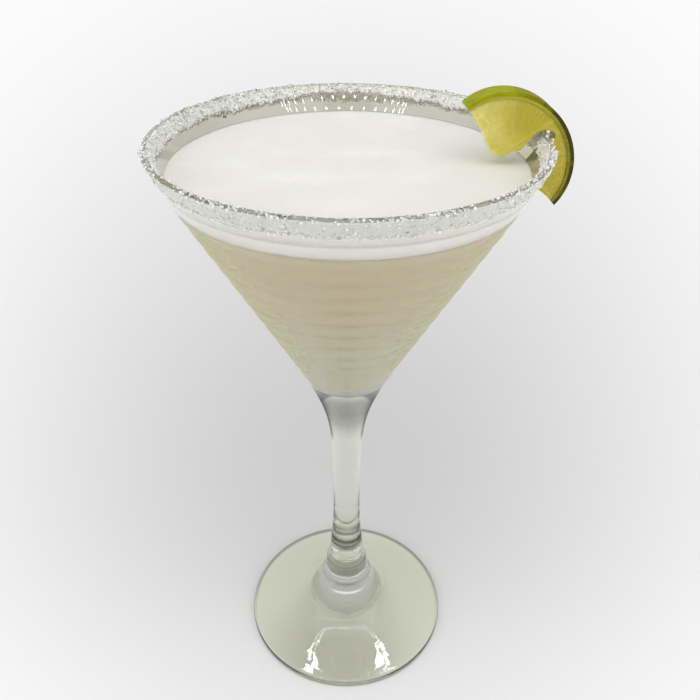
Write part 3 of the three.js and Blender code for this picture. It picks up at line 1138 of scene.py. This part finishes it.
@dataclass
class Contents:
    """Drink and foam, which fill the bowl and reach just into its wall.

    Sizes are in millimetres.
    """

    glass: Glass
    drink_top: float
    foam_top: float
    into_wall: float = 0.15
    overlap: float = 0.1
    curl: float = 0.45
    curl_width: float = 1.3
    columns: int = 160

    def build_drink(self) -> bpy.types.Object:
        """The drink: the cavity's own form up to the foam."""
        wall = self.glass.cavity_profile(self.drink_top, self.into_wall)
        edge = wall[-1, 0]
        share = np.linspace(1, 0, 24)[1:]
        top = np.stack([share * edge, np.full(len(share), self.drink_top)], axis=-1)
        skin = Skin(turned(np.vstack([wall, top]) * MM, self.columns), Ends.POLES)
        return add_piece(skin.mesh("cloudy_drink"), CloudyDrink().material(), "drink", "drink")

    def build_foam(self) -> bpy.types.Object:
        """The head: a slab with a softly uneven top that creeps up the glass at its edge."""
        low = self.drink_top - self.overlap
        high = self.foam_top + self.curl
        side = np.linspace(low, high, 12)
        wall = np.stack([self.glass.cavity(side) + self.into_wall, side], axis=-1)
        share = np.linspace(1, 0, 110)[1:]
        inward = (1 - share) * wall[-1, 0]
        curl = self.curl * peak(inward, 0, self.curl_width, 1.5)
        top = np.stack([share * wall[-1, 0], self.foam_top + curl], axis=-1)
        under_share = np.linspace(0, 1, 10)[:-1]
        under = np.stack([under_share * wall[0, 0], np.full(len(under_share), low)], axis=-1)
        points = turned(np.vstack([under, wall, top]) * MM, self.columns)
        radius = np.hypot(points[..., 0], points[..., 1])
        on_top = points[..., 2] > (self.foam_top - 1) * MM
        inside = smooth(wall[-1, 0] * MM - radius, 0.3 * MM, 3 * MM) * on_top
        swell = 0.16 * lattice_noise(points, 9 * MM, 3) + 0.05 * lattice_noise(points, 2.2 * MM, 4)
        points[..., 2] += swell * MM * inside
        skin = Skin(points, Ends.POLES)
        return add_piece(skin.mesh("foam_head"), Froth().material(), "foam", "foam")


class Side(Enum):
    """Which part of the rim a crystal sits on."""

    OUTSIDE = "outside"
    INSIDE = "inside"
    TOP = "top"


@dataclass
class CrystalCrust:
    """A half-dissolved film round the rim, with small crystals stuck in it.

    Sizes are in millimetres.
    """

    glass: Glass
    lowest: float
    small: float = 0.3
    large: float = 0.85
    outside: int = 3700
    inside: int = 5000
    top: int = 1800
    film: float = 0.22
    film_gap: float = 0.55
    film_into_glass: float = 0.04
    film_rows: int = 12
    film_columns: int = 1200
    ring_radius: float = 50
    edge_above: float = 0.55
    edge_step: float = 0.28
    edge_wave: float = 0.5
    lower_outside: float = 1.3
    higher_at_back: float = 1.6
    seed: int = 5

    def edge(self, angle: np.ndarray, side: Side) -> np.ndarray:
        """Height of the crust's lower edge: slow waves, with small steps from grain to grain.

        Args:
            angle: Angles round the rim, in radians.
            side: OUTSIDE, where the edge is lower, or INSIDE, where it is higher at the back.

        Returns:
            The height at each angle.
        """
        shift = 0.0 if side is Side.OUTSIDE else 1.7
        wander = 0.45 * np.sin(7 * angle + 1 + shift) + 0.35 * np.sin(17 * angle + 2.4)
        wander += 0.3 * np.sin(31 * angle + shift)
        ring = round_axis(self.ring_radius, angle, self.ring_radius * (3 + shift))
        grain = lattice_noise(ring, 1.3, 31) + 0.6 * lattice_noise(ring, 0.6, 32)
        spared = -self.lower_outside
        if side is Side.INSIDE:
            spared = self.higher_at_back * peak(angle, np.pi / 2, 0.5)
        return self.lowest + self.edge_above + self.edge_wave * wander + self.edge_step * grain + spared

    def fullness(self, angle: np.ndarray, side: Side) -> np.ndarray:
        """Share of the crystals that stay at an angle: most at the back left, in loose clusters.

        Args:
            angle: Angles round the rim, in radians.
            side: The part of the rim.

        Returns:
            The share at each angle, from 0 to 1.
        """
        ring = round_axis(self.ring_radius, angle, 5 * self.ring_radius)
        cluster = 0.5 + 0.5 * lattice_noise(ring, 7.0, 41) + 0.35 * lattice_noise(ring, 2.2, 42)
        if side is Side.TOP:
            return np.clip(cluster * 1.2 - 0.1, 0, 1)
        if side is Side.INSIDE:
            thick = 0.45 + 0.55 * np.cos(angle - math.radians(165))
            return np.clip(0.35 + 0.5 * thick + 0.35 * (cluster - 0.5), 0.1, 1)
        return np.clip(0.4 + 0.7 * (cluster - 0.5), 0.08, 1)

    def scatter(self, count: int, side: Side, random: np.random.Generator) -> np.ndarray:
        """Places for crystals on one part of the rim.

        Args:
            count: How many are drawn, before some are left out.
            side: The part.
            random: Source of the draws.

        Returns:
            Centre and size, four numbers to a row.
        """
        angle = random.uniform(0, 2 * np.pi, count)
        angle = angle[random.uniform(0, 1, count) < self.fullness(angle, side)]
        count = len(angle)
        size = self.small + (self.large - self.small) * random.beta(1.5, 3.4, count)
        rim = self.glass.rim_height
        if side is Side.TOP:
            spread = random.uniform(-1, 1, count)
            half = self.glass.wall_rim / 2
            radius = float(self.glass.bowl(np.array(rim))) - half + spread * half
            height = rim - 0.5 * spread**2 + size * 0.2
        else:
            low = self.edge(angle, side)
            height = low + (rim - 0.2 - low) * random.uniform(0, 1, count)
            outer = side is Side.OUTSIDE
            wall = self.glass.bowl(height) if outer else self.glass.cavity(height)
            radius = wall + (1 if outer else -1) * size * random.uniform(0.12, 0.42, count)
        return np.concatenate([round_axis(radius, angle, height), size[:, None]], axis=-1)

    def build_crystals(self) -> bpy.types.Object:
        """Makes every crystal as a small uneven block, all in one piece."""
        random = np.random.default_rng(self.seed)
        counts = {Side.OUTSIDE: self.outside, Side.INSIDE: self.inside, Side.TOP: self.top}
        places = np.concatenate([self.scatter(number, side, random) for side, number in counts.items()])
        count = len(places)
        turn = np.linalg.qr(random.normal(size=(count, 3, 3)))[0]
        turn[np.linalg.det(turn) < 0, :, 0] *= -1
        stretch = random.uniform(0.6, 1.0, (count, 1, 3)) * places[:, 3][:, None, None]
        jitter = 1 + random.uniform(-0.16, 0.16, (count, 8, 3))
        corners = np.einsum("nij,nkj->nki", turn, BOX_CORNERS / 2 * stretch * jitter) + places[:, None, :3]
        kind = np.repeat(random.uniform(0, 1, count), len(BOX_CORNERS))
        mesh = blocks("rim_crystals_fine", corners * MM, {"kind": kind})
        return add_piece(mesh, Crystal().material(), "crystals", "rim_crystals")

    def build_film(self, side: Side) -> bpy.types.Object:
        """Makes the film on one face of the wall: a thin lumpy band with thin edges.

        Args:
            side: OUTSIDE or INSIDE.

        Returns:
            The film.
        """
        angle = np.linspace(0, 2 * np.pi, self.film_columns, endpoint=False)
        share = np.linspace(0, 1, self.film_rows)[:, None]
        low = self.edge(angle, side)[None]
        height = low + share * (self.glass.rim_height - self.film_gap - low)
        outer = side is Side.OUTSIDE
        wall = self.glass.bowl(height) if outer else self.glass.cavity(height)
        way = 1.0 if outer else -1.0
        place = round_axis(self.ring_radius, angle, height)
        lumps = 0.6 + 0.4 * lattice_noise(place, 1.1, 51) + 0.3 * lattice_noise(place, 0.5, 52)
        full = 0.5 + self.fullness(angle, side)[None]
        thick = self.film * full * np.clip(lumps, 0.15, None) * np.sin(np.pi * (0.06 + 0.88 * share)) ** 0.6
        face = wall + way * thick
        back = wall - way * self.film_into_glass
        radius = np.concatenate([face, back[::-1]])
        level = np.concatenate([height, height[::-1]])
        points = round_axis(radius, angle, level) * MM
        rise = np.broadcast_to(np.concatenate([share, share[::-1]]), radius.shape)
        mesh = Skin(points, Ends.LOOP).mesh(f"crust_film_{side.value}", {"rise": rise})
        return add_piece(mesh, CrustFilm().material(), "crystals", "rim_crystals")

    def build(self) -> None:
        """Makes the crystals and both films."""
        self.build_crystals()
        self.build_film(Side.OUTSIDE)
        self.build_film(Side.INSIDE)


@dataclass
class LimeSlice:
    """Half a slice of lime with a slit that sits on the rim.

    It is drawn on its own upright plane, in millimetres: x outwards from the glass axis and y up. Each
    layer is a closed section, depth by thickness, carried round from the upper tip to the lower one.
    """

    reach: float = 51.5
    front: float = 0.8
    turn: float = 4.5
    thick: float = 6.0
    centre: tuple[float, float] = (41.35, 177.8)
    long: float = 18.5
    wide: float = 16.1
    lean: float = 132
    arc_from: float = -83
    core: tuple[float, float] = (41.8, 181.2)
    skin: float = 0.95
    pith: float = 0.8
    torn: float = 0.2
    tuck: float = 0.05
    membranes: tuple[float, ...] = (138, 95, 36, -6, -48)
    membrane_half: float = 0.32
    core_half: float = 1.2
    cells: int = 420
    cells_from: tuple[float, float] = (28, 164)
    cells_to: tuple[float, float] = (59, 196)
    seed: int = 21
    stations: int = 240

    def inner_path(self) -> np.ndarray:
        """Corners of the cut edge and the slit, with the direction on the oval that each one faces."""
        return np.array([
            (90.0, 28.97, 191.57), (84.0, 30.4, 190.3), (76.0, 32.1, 187.8), (67.0, 34.6, 184.0),
            (58.0, 36.5, 180.0), (50.0, 38.6, 179.0), (42.0, 41.6, 179.8), (33.0, 44.4, 181.0),
            (25.0, 46.1, 183.1), (17.0, 47.9, 185.1), (9.0, 49.8, 185.4), (0.0, 51.6, 185.3),
            (-8.0, 52.9, 184.2), (-22.0, 51.6, 181.0), (-37.0, 49.3, 177.0), (-56.0, 46.9, 172.6),
            (-72.0, 51.4, 169.0), (-83.0, 55.35, 165.8),
        ])

    def oval(self, angle: np.ndarray) -> np.ndarray:
        """The oval outside of the slice at an angle in degrees, 90 at the upper tip."""
        a, lean = np.radians(angle), math.radians(self.lean)
        along, across = self.long * np.sin(a), self.wide * np.cos(a)
        return np.stack([
            self.centre[0] + along * math.cos(lean) + across * math.sin(lean),
            self.centre[1] + along * math.sin(lean) - across * math.cos(lean),
        ], axis=-1)

    def rails(self) -> tuple[np.ndarray, np.ndarray]:
        """The outer and inner edge of the slice, station by station."""
        path = self.inner_path()
        smooth_path = curve_through(path, self.stations)
        angle, inner = smooth_path[:, 0], smooth_path[:, 1:]
        angle[0], angle[-1] = 90.0, self.arc_from
        place = np.concatenate([inner, np.zeros((len(inner), 1))], axis=1)
        torn = self.torn * (lattice_noise(place, 1.6, 61) + 0.5 * lattice_noise(place, 0.7, 62))
        away = inner - self.oval(angle)
        away /= np.maximum(np.linalg.norm(away, axis=1, keepdims=True), 1e-6)
        between_tips = smooth(-np.abs(np.linspace(-1, 1, len(torn))), -0.97, -0.9)
        return self.oval(angle), inner + away * (torn * between_tips)[:, None]

    def place(self, flat: np.ndarray, depth: np.ndarray) -> np.ndarray:
        """Moves points from the drawing plane into the scene.

        Args:
            flat: Places on the plane, in millimetres.
            depth: How far behind the front face.

        Returns:
            Places in metres.
        """
        turn = math.radians(self.turn)
        out = flat[..., 0] - self.reach
        x = self.reach + out * math.cos(turn) - depth * math.sin(turn)
        y = self.front + out * math.sin(turn) + depth * math.cos(turn)
        return np.stack([x, y, flat[..., 1]], axis=-1) * MM

    def section(
        self,
        start: float,
        end: float | None,
        sunk: float,
        across: int,
        deep: int,
        relief: Callable[[np.ndarray], np.ndarray] | None = None,
    ) -> tuple[np.ndarray, np.ndarray]:
        """A closed layer between two depths under the skin.

        Args:
            start: Depth of its outer side below the skin.
            end: Depth of its inner side, or None for the slice's own cut edge.
            sunk: How far its faces lie below the slice's.
            across: Steps on each face.
            deep: Steps through the thickness.
            relief: Height added to the faces, from places on the plane.

        Returns:
            The grid of points in metres, and each point's place on the plane.
        """
        outer, inner = self.rails()
        span = np.linalg.norm(inner - outer, axis=1, keepdims=True)
        way = (inner - outer) / np.maximum(span, 1e-6)
        reach = np.maximum(span, 0.02)
        near = np.minimum(start, reach * 0.98)
        far = reach if end is None else np.minimum(end, reach)
        share = np.linspace(0, 1, across)
        round_share = (1 - np.cos(np.pi * share)) / 2
        depth = near + (far - near) * round_share
        half = self.thick / 2 - sunk
        edge = np.linspace(-1, 1, deep + 2)[1:-1]
        cut_side, skin_side = np.repeat(far, deep, 1), np.repeat(near, deep, 1)
        depths = np.concatenate([depth, cut_side, depth[:, ::-1], skin_side], axis=1)
        level = np.concatenate([np.full(across, -1.0), edge, np.full(across, 1.0), edge[::-1]])
        flat = outer[:, None] + way[:, None] * depths[..., None]
        lift = np.broadcast_to(level * half, depths.shape).copy()
        if relief is not None:
            border = np.minimum(depths - near, far - depths)
            lift += np.sign(level) * (np.abs(level) == 1) * relief(flat) * smooth(border, 0.0, 0.5)
        points = self.place(flat, self.thick / 2 + lift)
        return points, flat

    def marks(self, flat: np.ndarray) -> dict[str, np.ndarray]:
        """Where the membranes run and how the juice cells lie.

        Args:
            flat: Places on the plane.

        Returns:
            web, 1 on a membrane, and cell, 1 in the middle of a juice cell.
        """
        offset = flat - np.array(self.core)
        radius = np.hypot(offset[..., 0], offset[..., 1])
        angle = np.arctan2(offset[..., 1], offset[..., 0])
        web = np.zeros(radius.shape)
        for direction in self.membranes:
            gap = angle - math.radians(direction)
            off = radius * np.abs(np.sin(gap)) + 40 * (np.cos(gap) < 0)
            bend = 0.35 * np.sin(radius * 0.6 + direction)
            web = np.maximum(web, peak(off + bend * 0.3, 0, self.membrane_half))
        web = np.maximum(web, peak(radius, 0, self.core_half, 4))
        random = np.random.default_rng(self.seed)
        seeds = random.uniform(self.cells_from, self.cells_to, (self.cells, 2))
        seed_offset = seeds - np.array(self.core)
        seed_radius = np.hypot(seed_offset[:, 0], seed_offset[:, 1])
        seed_angle = np.arctan2(seed_offset[:, 1], seed_offset[:, 0])
        turn = angle.reshape(-1, 1) - seed_angle[None]
        aside = np.maximum(radius.reshape(-1, 1), 2.0) * np.abs(np.sin(turn)) + 30 * (np.cos(turn) < 0)
        along = (radius.reshape(-1, 1) - seed_radius[None]) * 0.38
        nearest = np.partition(np.hypot(aside, along), 1, axis=1)[:, :2]
        cell = smooth(nearest[:, 1] - nearest[:, 0], 0.0, 0.45).reshape(radius.shape)
        return {"web": web, "cell": cell}

    def flesh_relief(self, flat: np.ndarray) -> np.ndarray:
        """Height of the flesh: rounded juice cells between slightly raised membranes."""
        marks = self.marks(flat)
        place = np.concatenate([flat, np.zeros((*flat.shape[:-1], 1))], axis=-1)
        return 0.1 * marks["cell"] + 0.12 * marks["web"] + 0.15 * lattice_noise(place, 3.0, 8)

    def build(self) -> None:
        """Makes skin, pith and flesh in place of the slice's node."""
        skin, _ = self.section(0.0, self.skin, sunk=0.0, across=8, deep=22)
        pith, _ = self.section(self.skin - self.tuck, self.skin + self.pith, sunk=0.08, across=8, deep=10)
        below = self.skin + self.pith - self.tuck
        flesh, flat = self.section(below, None, sunk=0.45, across=90, deep=12, relief=self.flesh_relief)
        marks = {key: cap_rows(numbers) for key, numbers in self.marks(flat).items()}
        add_piece(capped(skin).mesh("lime_skin"), LimeSkin().material(), "lime", "lime_slice")
        add_piece(capped(pith).mesh("lime_pith"), LimePith().material(), "lime", "lime_slice")
        add_piece(capped(flesh).mesh("lime_flesh", marks), LimeFlesh().material(), "lime", "lime_slice")


def capped(points: np.ndarray) -> Skin:
    """Closes an open tube, given as a grid of points, by drawing a copy of each end row to its middle."""
    first = np.broadcast_to(points[0].mean(axis=0), points[0].shape)
    last = np.broadcast_to(points[-1].mean(axis=0), points[-1].shape)
    return Skin(np.concatenate([first[None], points, last[None]]), Ends.POLES)


def cap_rows(numbers: np.ndarray) -> np.ndarray:
    """Repeats the first and last row of stored numbers, to fit a capped tube."""
    return np.concatenate([numbers[:1], numbers, numbers[-1:]])


# Stage


@dataclass
class Studio:
    """Floor, soft light and the camera."""

    focal_pixels: float = 734.36
    picture: float = 700.0
    sensor: float = 36.0
    camera_x: float = 0.85 * MM
    camera_back: float = 183.13 * MM
    camera_up: float = 243.63 * MM
    pitch: float = 34.246
    roll: float = 0.378
    floor_half: float = 6.0
    floor_gap: float = 0.25 * MM
    horizon: float = 0.3
    low: float = 0.45
    high: float = 1.67
    streaks: float = 0.1
    streak_waves: float = 70.0
    camera_dark: float = 0.6
    ring_middle: tuple[float, float, float] = (0.004, -0.019, 0.4)
    ring_half: tuple[float, float] = (0.157, 0.184)
    ring_taper: float = 0.5
    ring_rows: tuple[float, ...] = (1.0, 0.89)
    ring_lamps: int = 54
    ring_lamp: tuple[float, float, float] = (0.0088, 0.0084, 0.003)
    bow_height: float = 0.6
    bows: tuple[tuple[float, float, float, float, int], ...] = (
        (-0.576, 0.6, 0.035, 0.47, 17), (-0.56, 0.57, 0.025, 0.44, 14),
    )
    bow_lamp: tuple[float, float, float] = (0.014, 0.0035, 0.0003)
    lamp_glow: float = 24.0
    seed: int = 7

    def add_camera(self) -> None:
        """Sets the camera where the picture was taken from, tipped down and rolled a little."""
        data = bpy.data.cameras.new("camera")
        data.sensor_width = self.sensor
        data.lens = self.focal_pixels / self.picture * self.sensor
        data.clip_start = 0.01
        data.clip_end = 50
        camera = bpy.data.objects.new("camera", data)
        bpy.context.scene.collection.objects.link(camera)
        pitch, roll = math.radians(self.pitch), math.radians(self.roll)
        right, up = Vector((1, 0, 0)), Vector((0, math.sin(pitch), math.cos(pitch)))
        forward = Vector((0, math.cos(pitch), -math.sin(pitch)))
        tipped_right = math.cos(roll) * right + math.sin(roll) * up
        tipped_up = math.cos(roll) * up - math.sin(roll) * right
        turn = Matrix((tipped_right, tipped_up, -forward)).transposed()
        place = Matrix.Translation((self.camera_x, -self.camera_back, self.camera_up))
        camera.matrix_world = place @ turn.to_4x4()
        bpy.context.scene.camera = camera

    def add_floor(self) -> None:
        """Lays the pale floor."""
        half, level = self.floor_half, -self.floor_gap
        corners = ((-half, -half, level), (half, -half, level), (half, half, level), (-half, half, level))
        mesh = make_mesh("floor", np.array(corners), np.array([[0, 1, 2, 3]]))
        floor = placed(mesh, Floor().material())

    def add_sky(self) -> None:
        """A white dome: bright in front, grey behind with faint level streaks, darker round the camera."""
        shade = Shade("dome", sky=True)
        x, y, z = shade.axis("X"), shade.axis("Y"), shade.axis("Z")
        front = y.step(0.3, -0.3)
        grey = z.step(0.02, 0.2, self.horizon, self.low)
        lit = grey + (self.high - self.low) * z.step(0.0, 0.35) * front
        camera = z.step(0.72, 0.62) * y.step(-0.5, -0.75) * (x * x).step(0.09, 0.04)
        wave = (z * self.streak_waves).cosine()
        behind = y.step(0.3, 0.5) * z.step(0.26, 0.3) * z.step(0.56, 0.5)
        strength = lit * (1 - self.camera_dark * camera) + wave * behind * self.streaks
        light = shade.node("ShaderNodeBackground", None, {"Color": (1, 1, 1, 1), "Strength": strength})
        shade.node("ShaderNodeOutputWorld", None, {"Surface": light.outputs[0]})
        bpy.context.scene.world = shade.owner

    def add_lamps(self) -> None:
        """Hangs two sets of small lamps that only show as reflections in the glass.

        One is an oval over the glass that narrows to the back, mirrored by the foot. The other is a double
        bow in front, mirrored by the back of the wall: its lamps stand on y = start + bend x^2.
        """
        row = np.repeat(self.ring_rows, self.ring_lamps)
        number = np.arange(len(row)) + 0.5 * (row < 1)
        angle = 2 * np.pi * number / self.ring_lamps
        ahead, aside = np.cos(angle), np.sin(angle)
        blunt = np.sign(aside) * np.abs(aside) ** (0.75 + 0.45 * ahead)
        ring = np.stack([
            self.ring_middle[0] + row * self.ring_half[0] * blunt * (1 + self.ring_taper * ahead),
            self.ring_middle[1] - row * self.ring_half[1] * ahead,
            np.full(angle.shape, self.ring_middle[2]),
        ], axis=-1)
        grown = 0.8 + 0.55 * smooth(-ahead, 0.0, 0.8) - 0.9 * smooth(-ahead, 0.93, 0.98)
        grown *= np.random.default_rng(self.seed).uniform(0.6, 1.3, angle.shape)
        bows = []
        for start, bend, middle_x, half_x, count in self.bows:
            x = middle_x + half_x * np.sin(np.radians(np.linspace(-80, 80, count)))
            bows.append(np.stack([x, start + bend * x * x, np.full(x.shape, self.bow_height)], axis=-1))
        middle = np.concatenate([ring, *bows])
        half = np.concatenate([
            np.array(self.ring_lamp) / 2 * grown[:, None],
            np.broadcast_to(np.array(self.bow_lamp) / 2, (len(middle) - len(ring), 3)),
        ])
        mesh = blocks("lamps", middle[:, None] + BOX_CORNERS * half[:, None])
        shade = Shade("lamp_light")
        light = shade.node("ShaderNodeEmission", None, {"Color": (1, 1, 1, 1), "Strength": self.lamp_glow})
        lamps = placed(mesh, shade.end(light.outputs[0]))
        lamps.visible_camera = False
        lamps.visible_diffuse = False
        lamps.visible_shadow = False
        lamps.visible_transmission = False

    def build(self) -> None:
        """Sets up everything round the object."""
        scene = bpy.context.scene
        scene.view_settings.view_transform = "Standard"
        self.add_camera()
        self.add_floor()
        self.add_sky()
        self.add_lamps()


def top_of(node: str) -> float:
    """Highest point of one of the model's nodes, in millimetres."""
    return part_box(node)[1].z / MM


def main() -> None:
    """Builds the glass, its contents, the crust, the lime and the stage."""
    logging.basicConfig(level=logging.INFO, format="%(message)s")
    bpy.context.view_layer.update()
    glass = Glass(rim_height=top_of("glass"))
    contents = Contents(glass, drink_top=top_of("drink"), foam_top=top_of("foam") - Contents.curl)
    glass.build(contents.foam_top)
    contents.build_drink()
    contents.build_foam()
    CrystalCrust(glass, lowest=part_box("rim_crystals")[0].z / MM).build()
    LimeSlice().build()
    Studio().build()


if __name__ == "__main__":
    main()
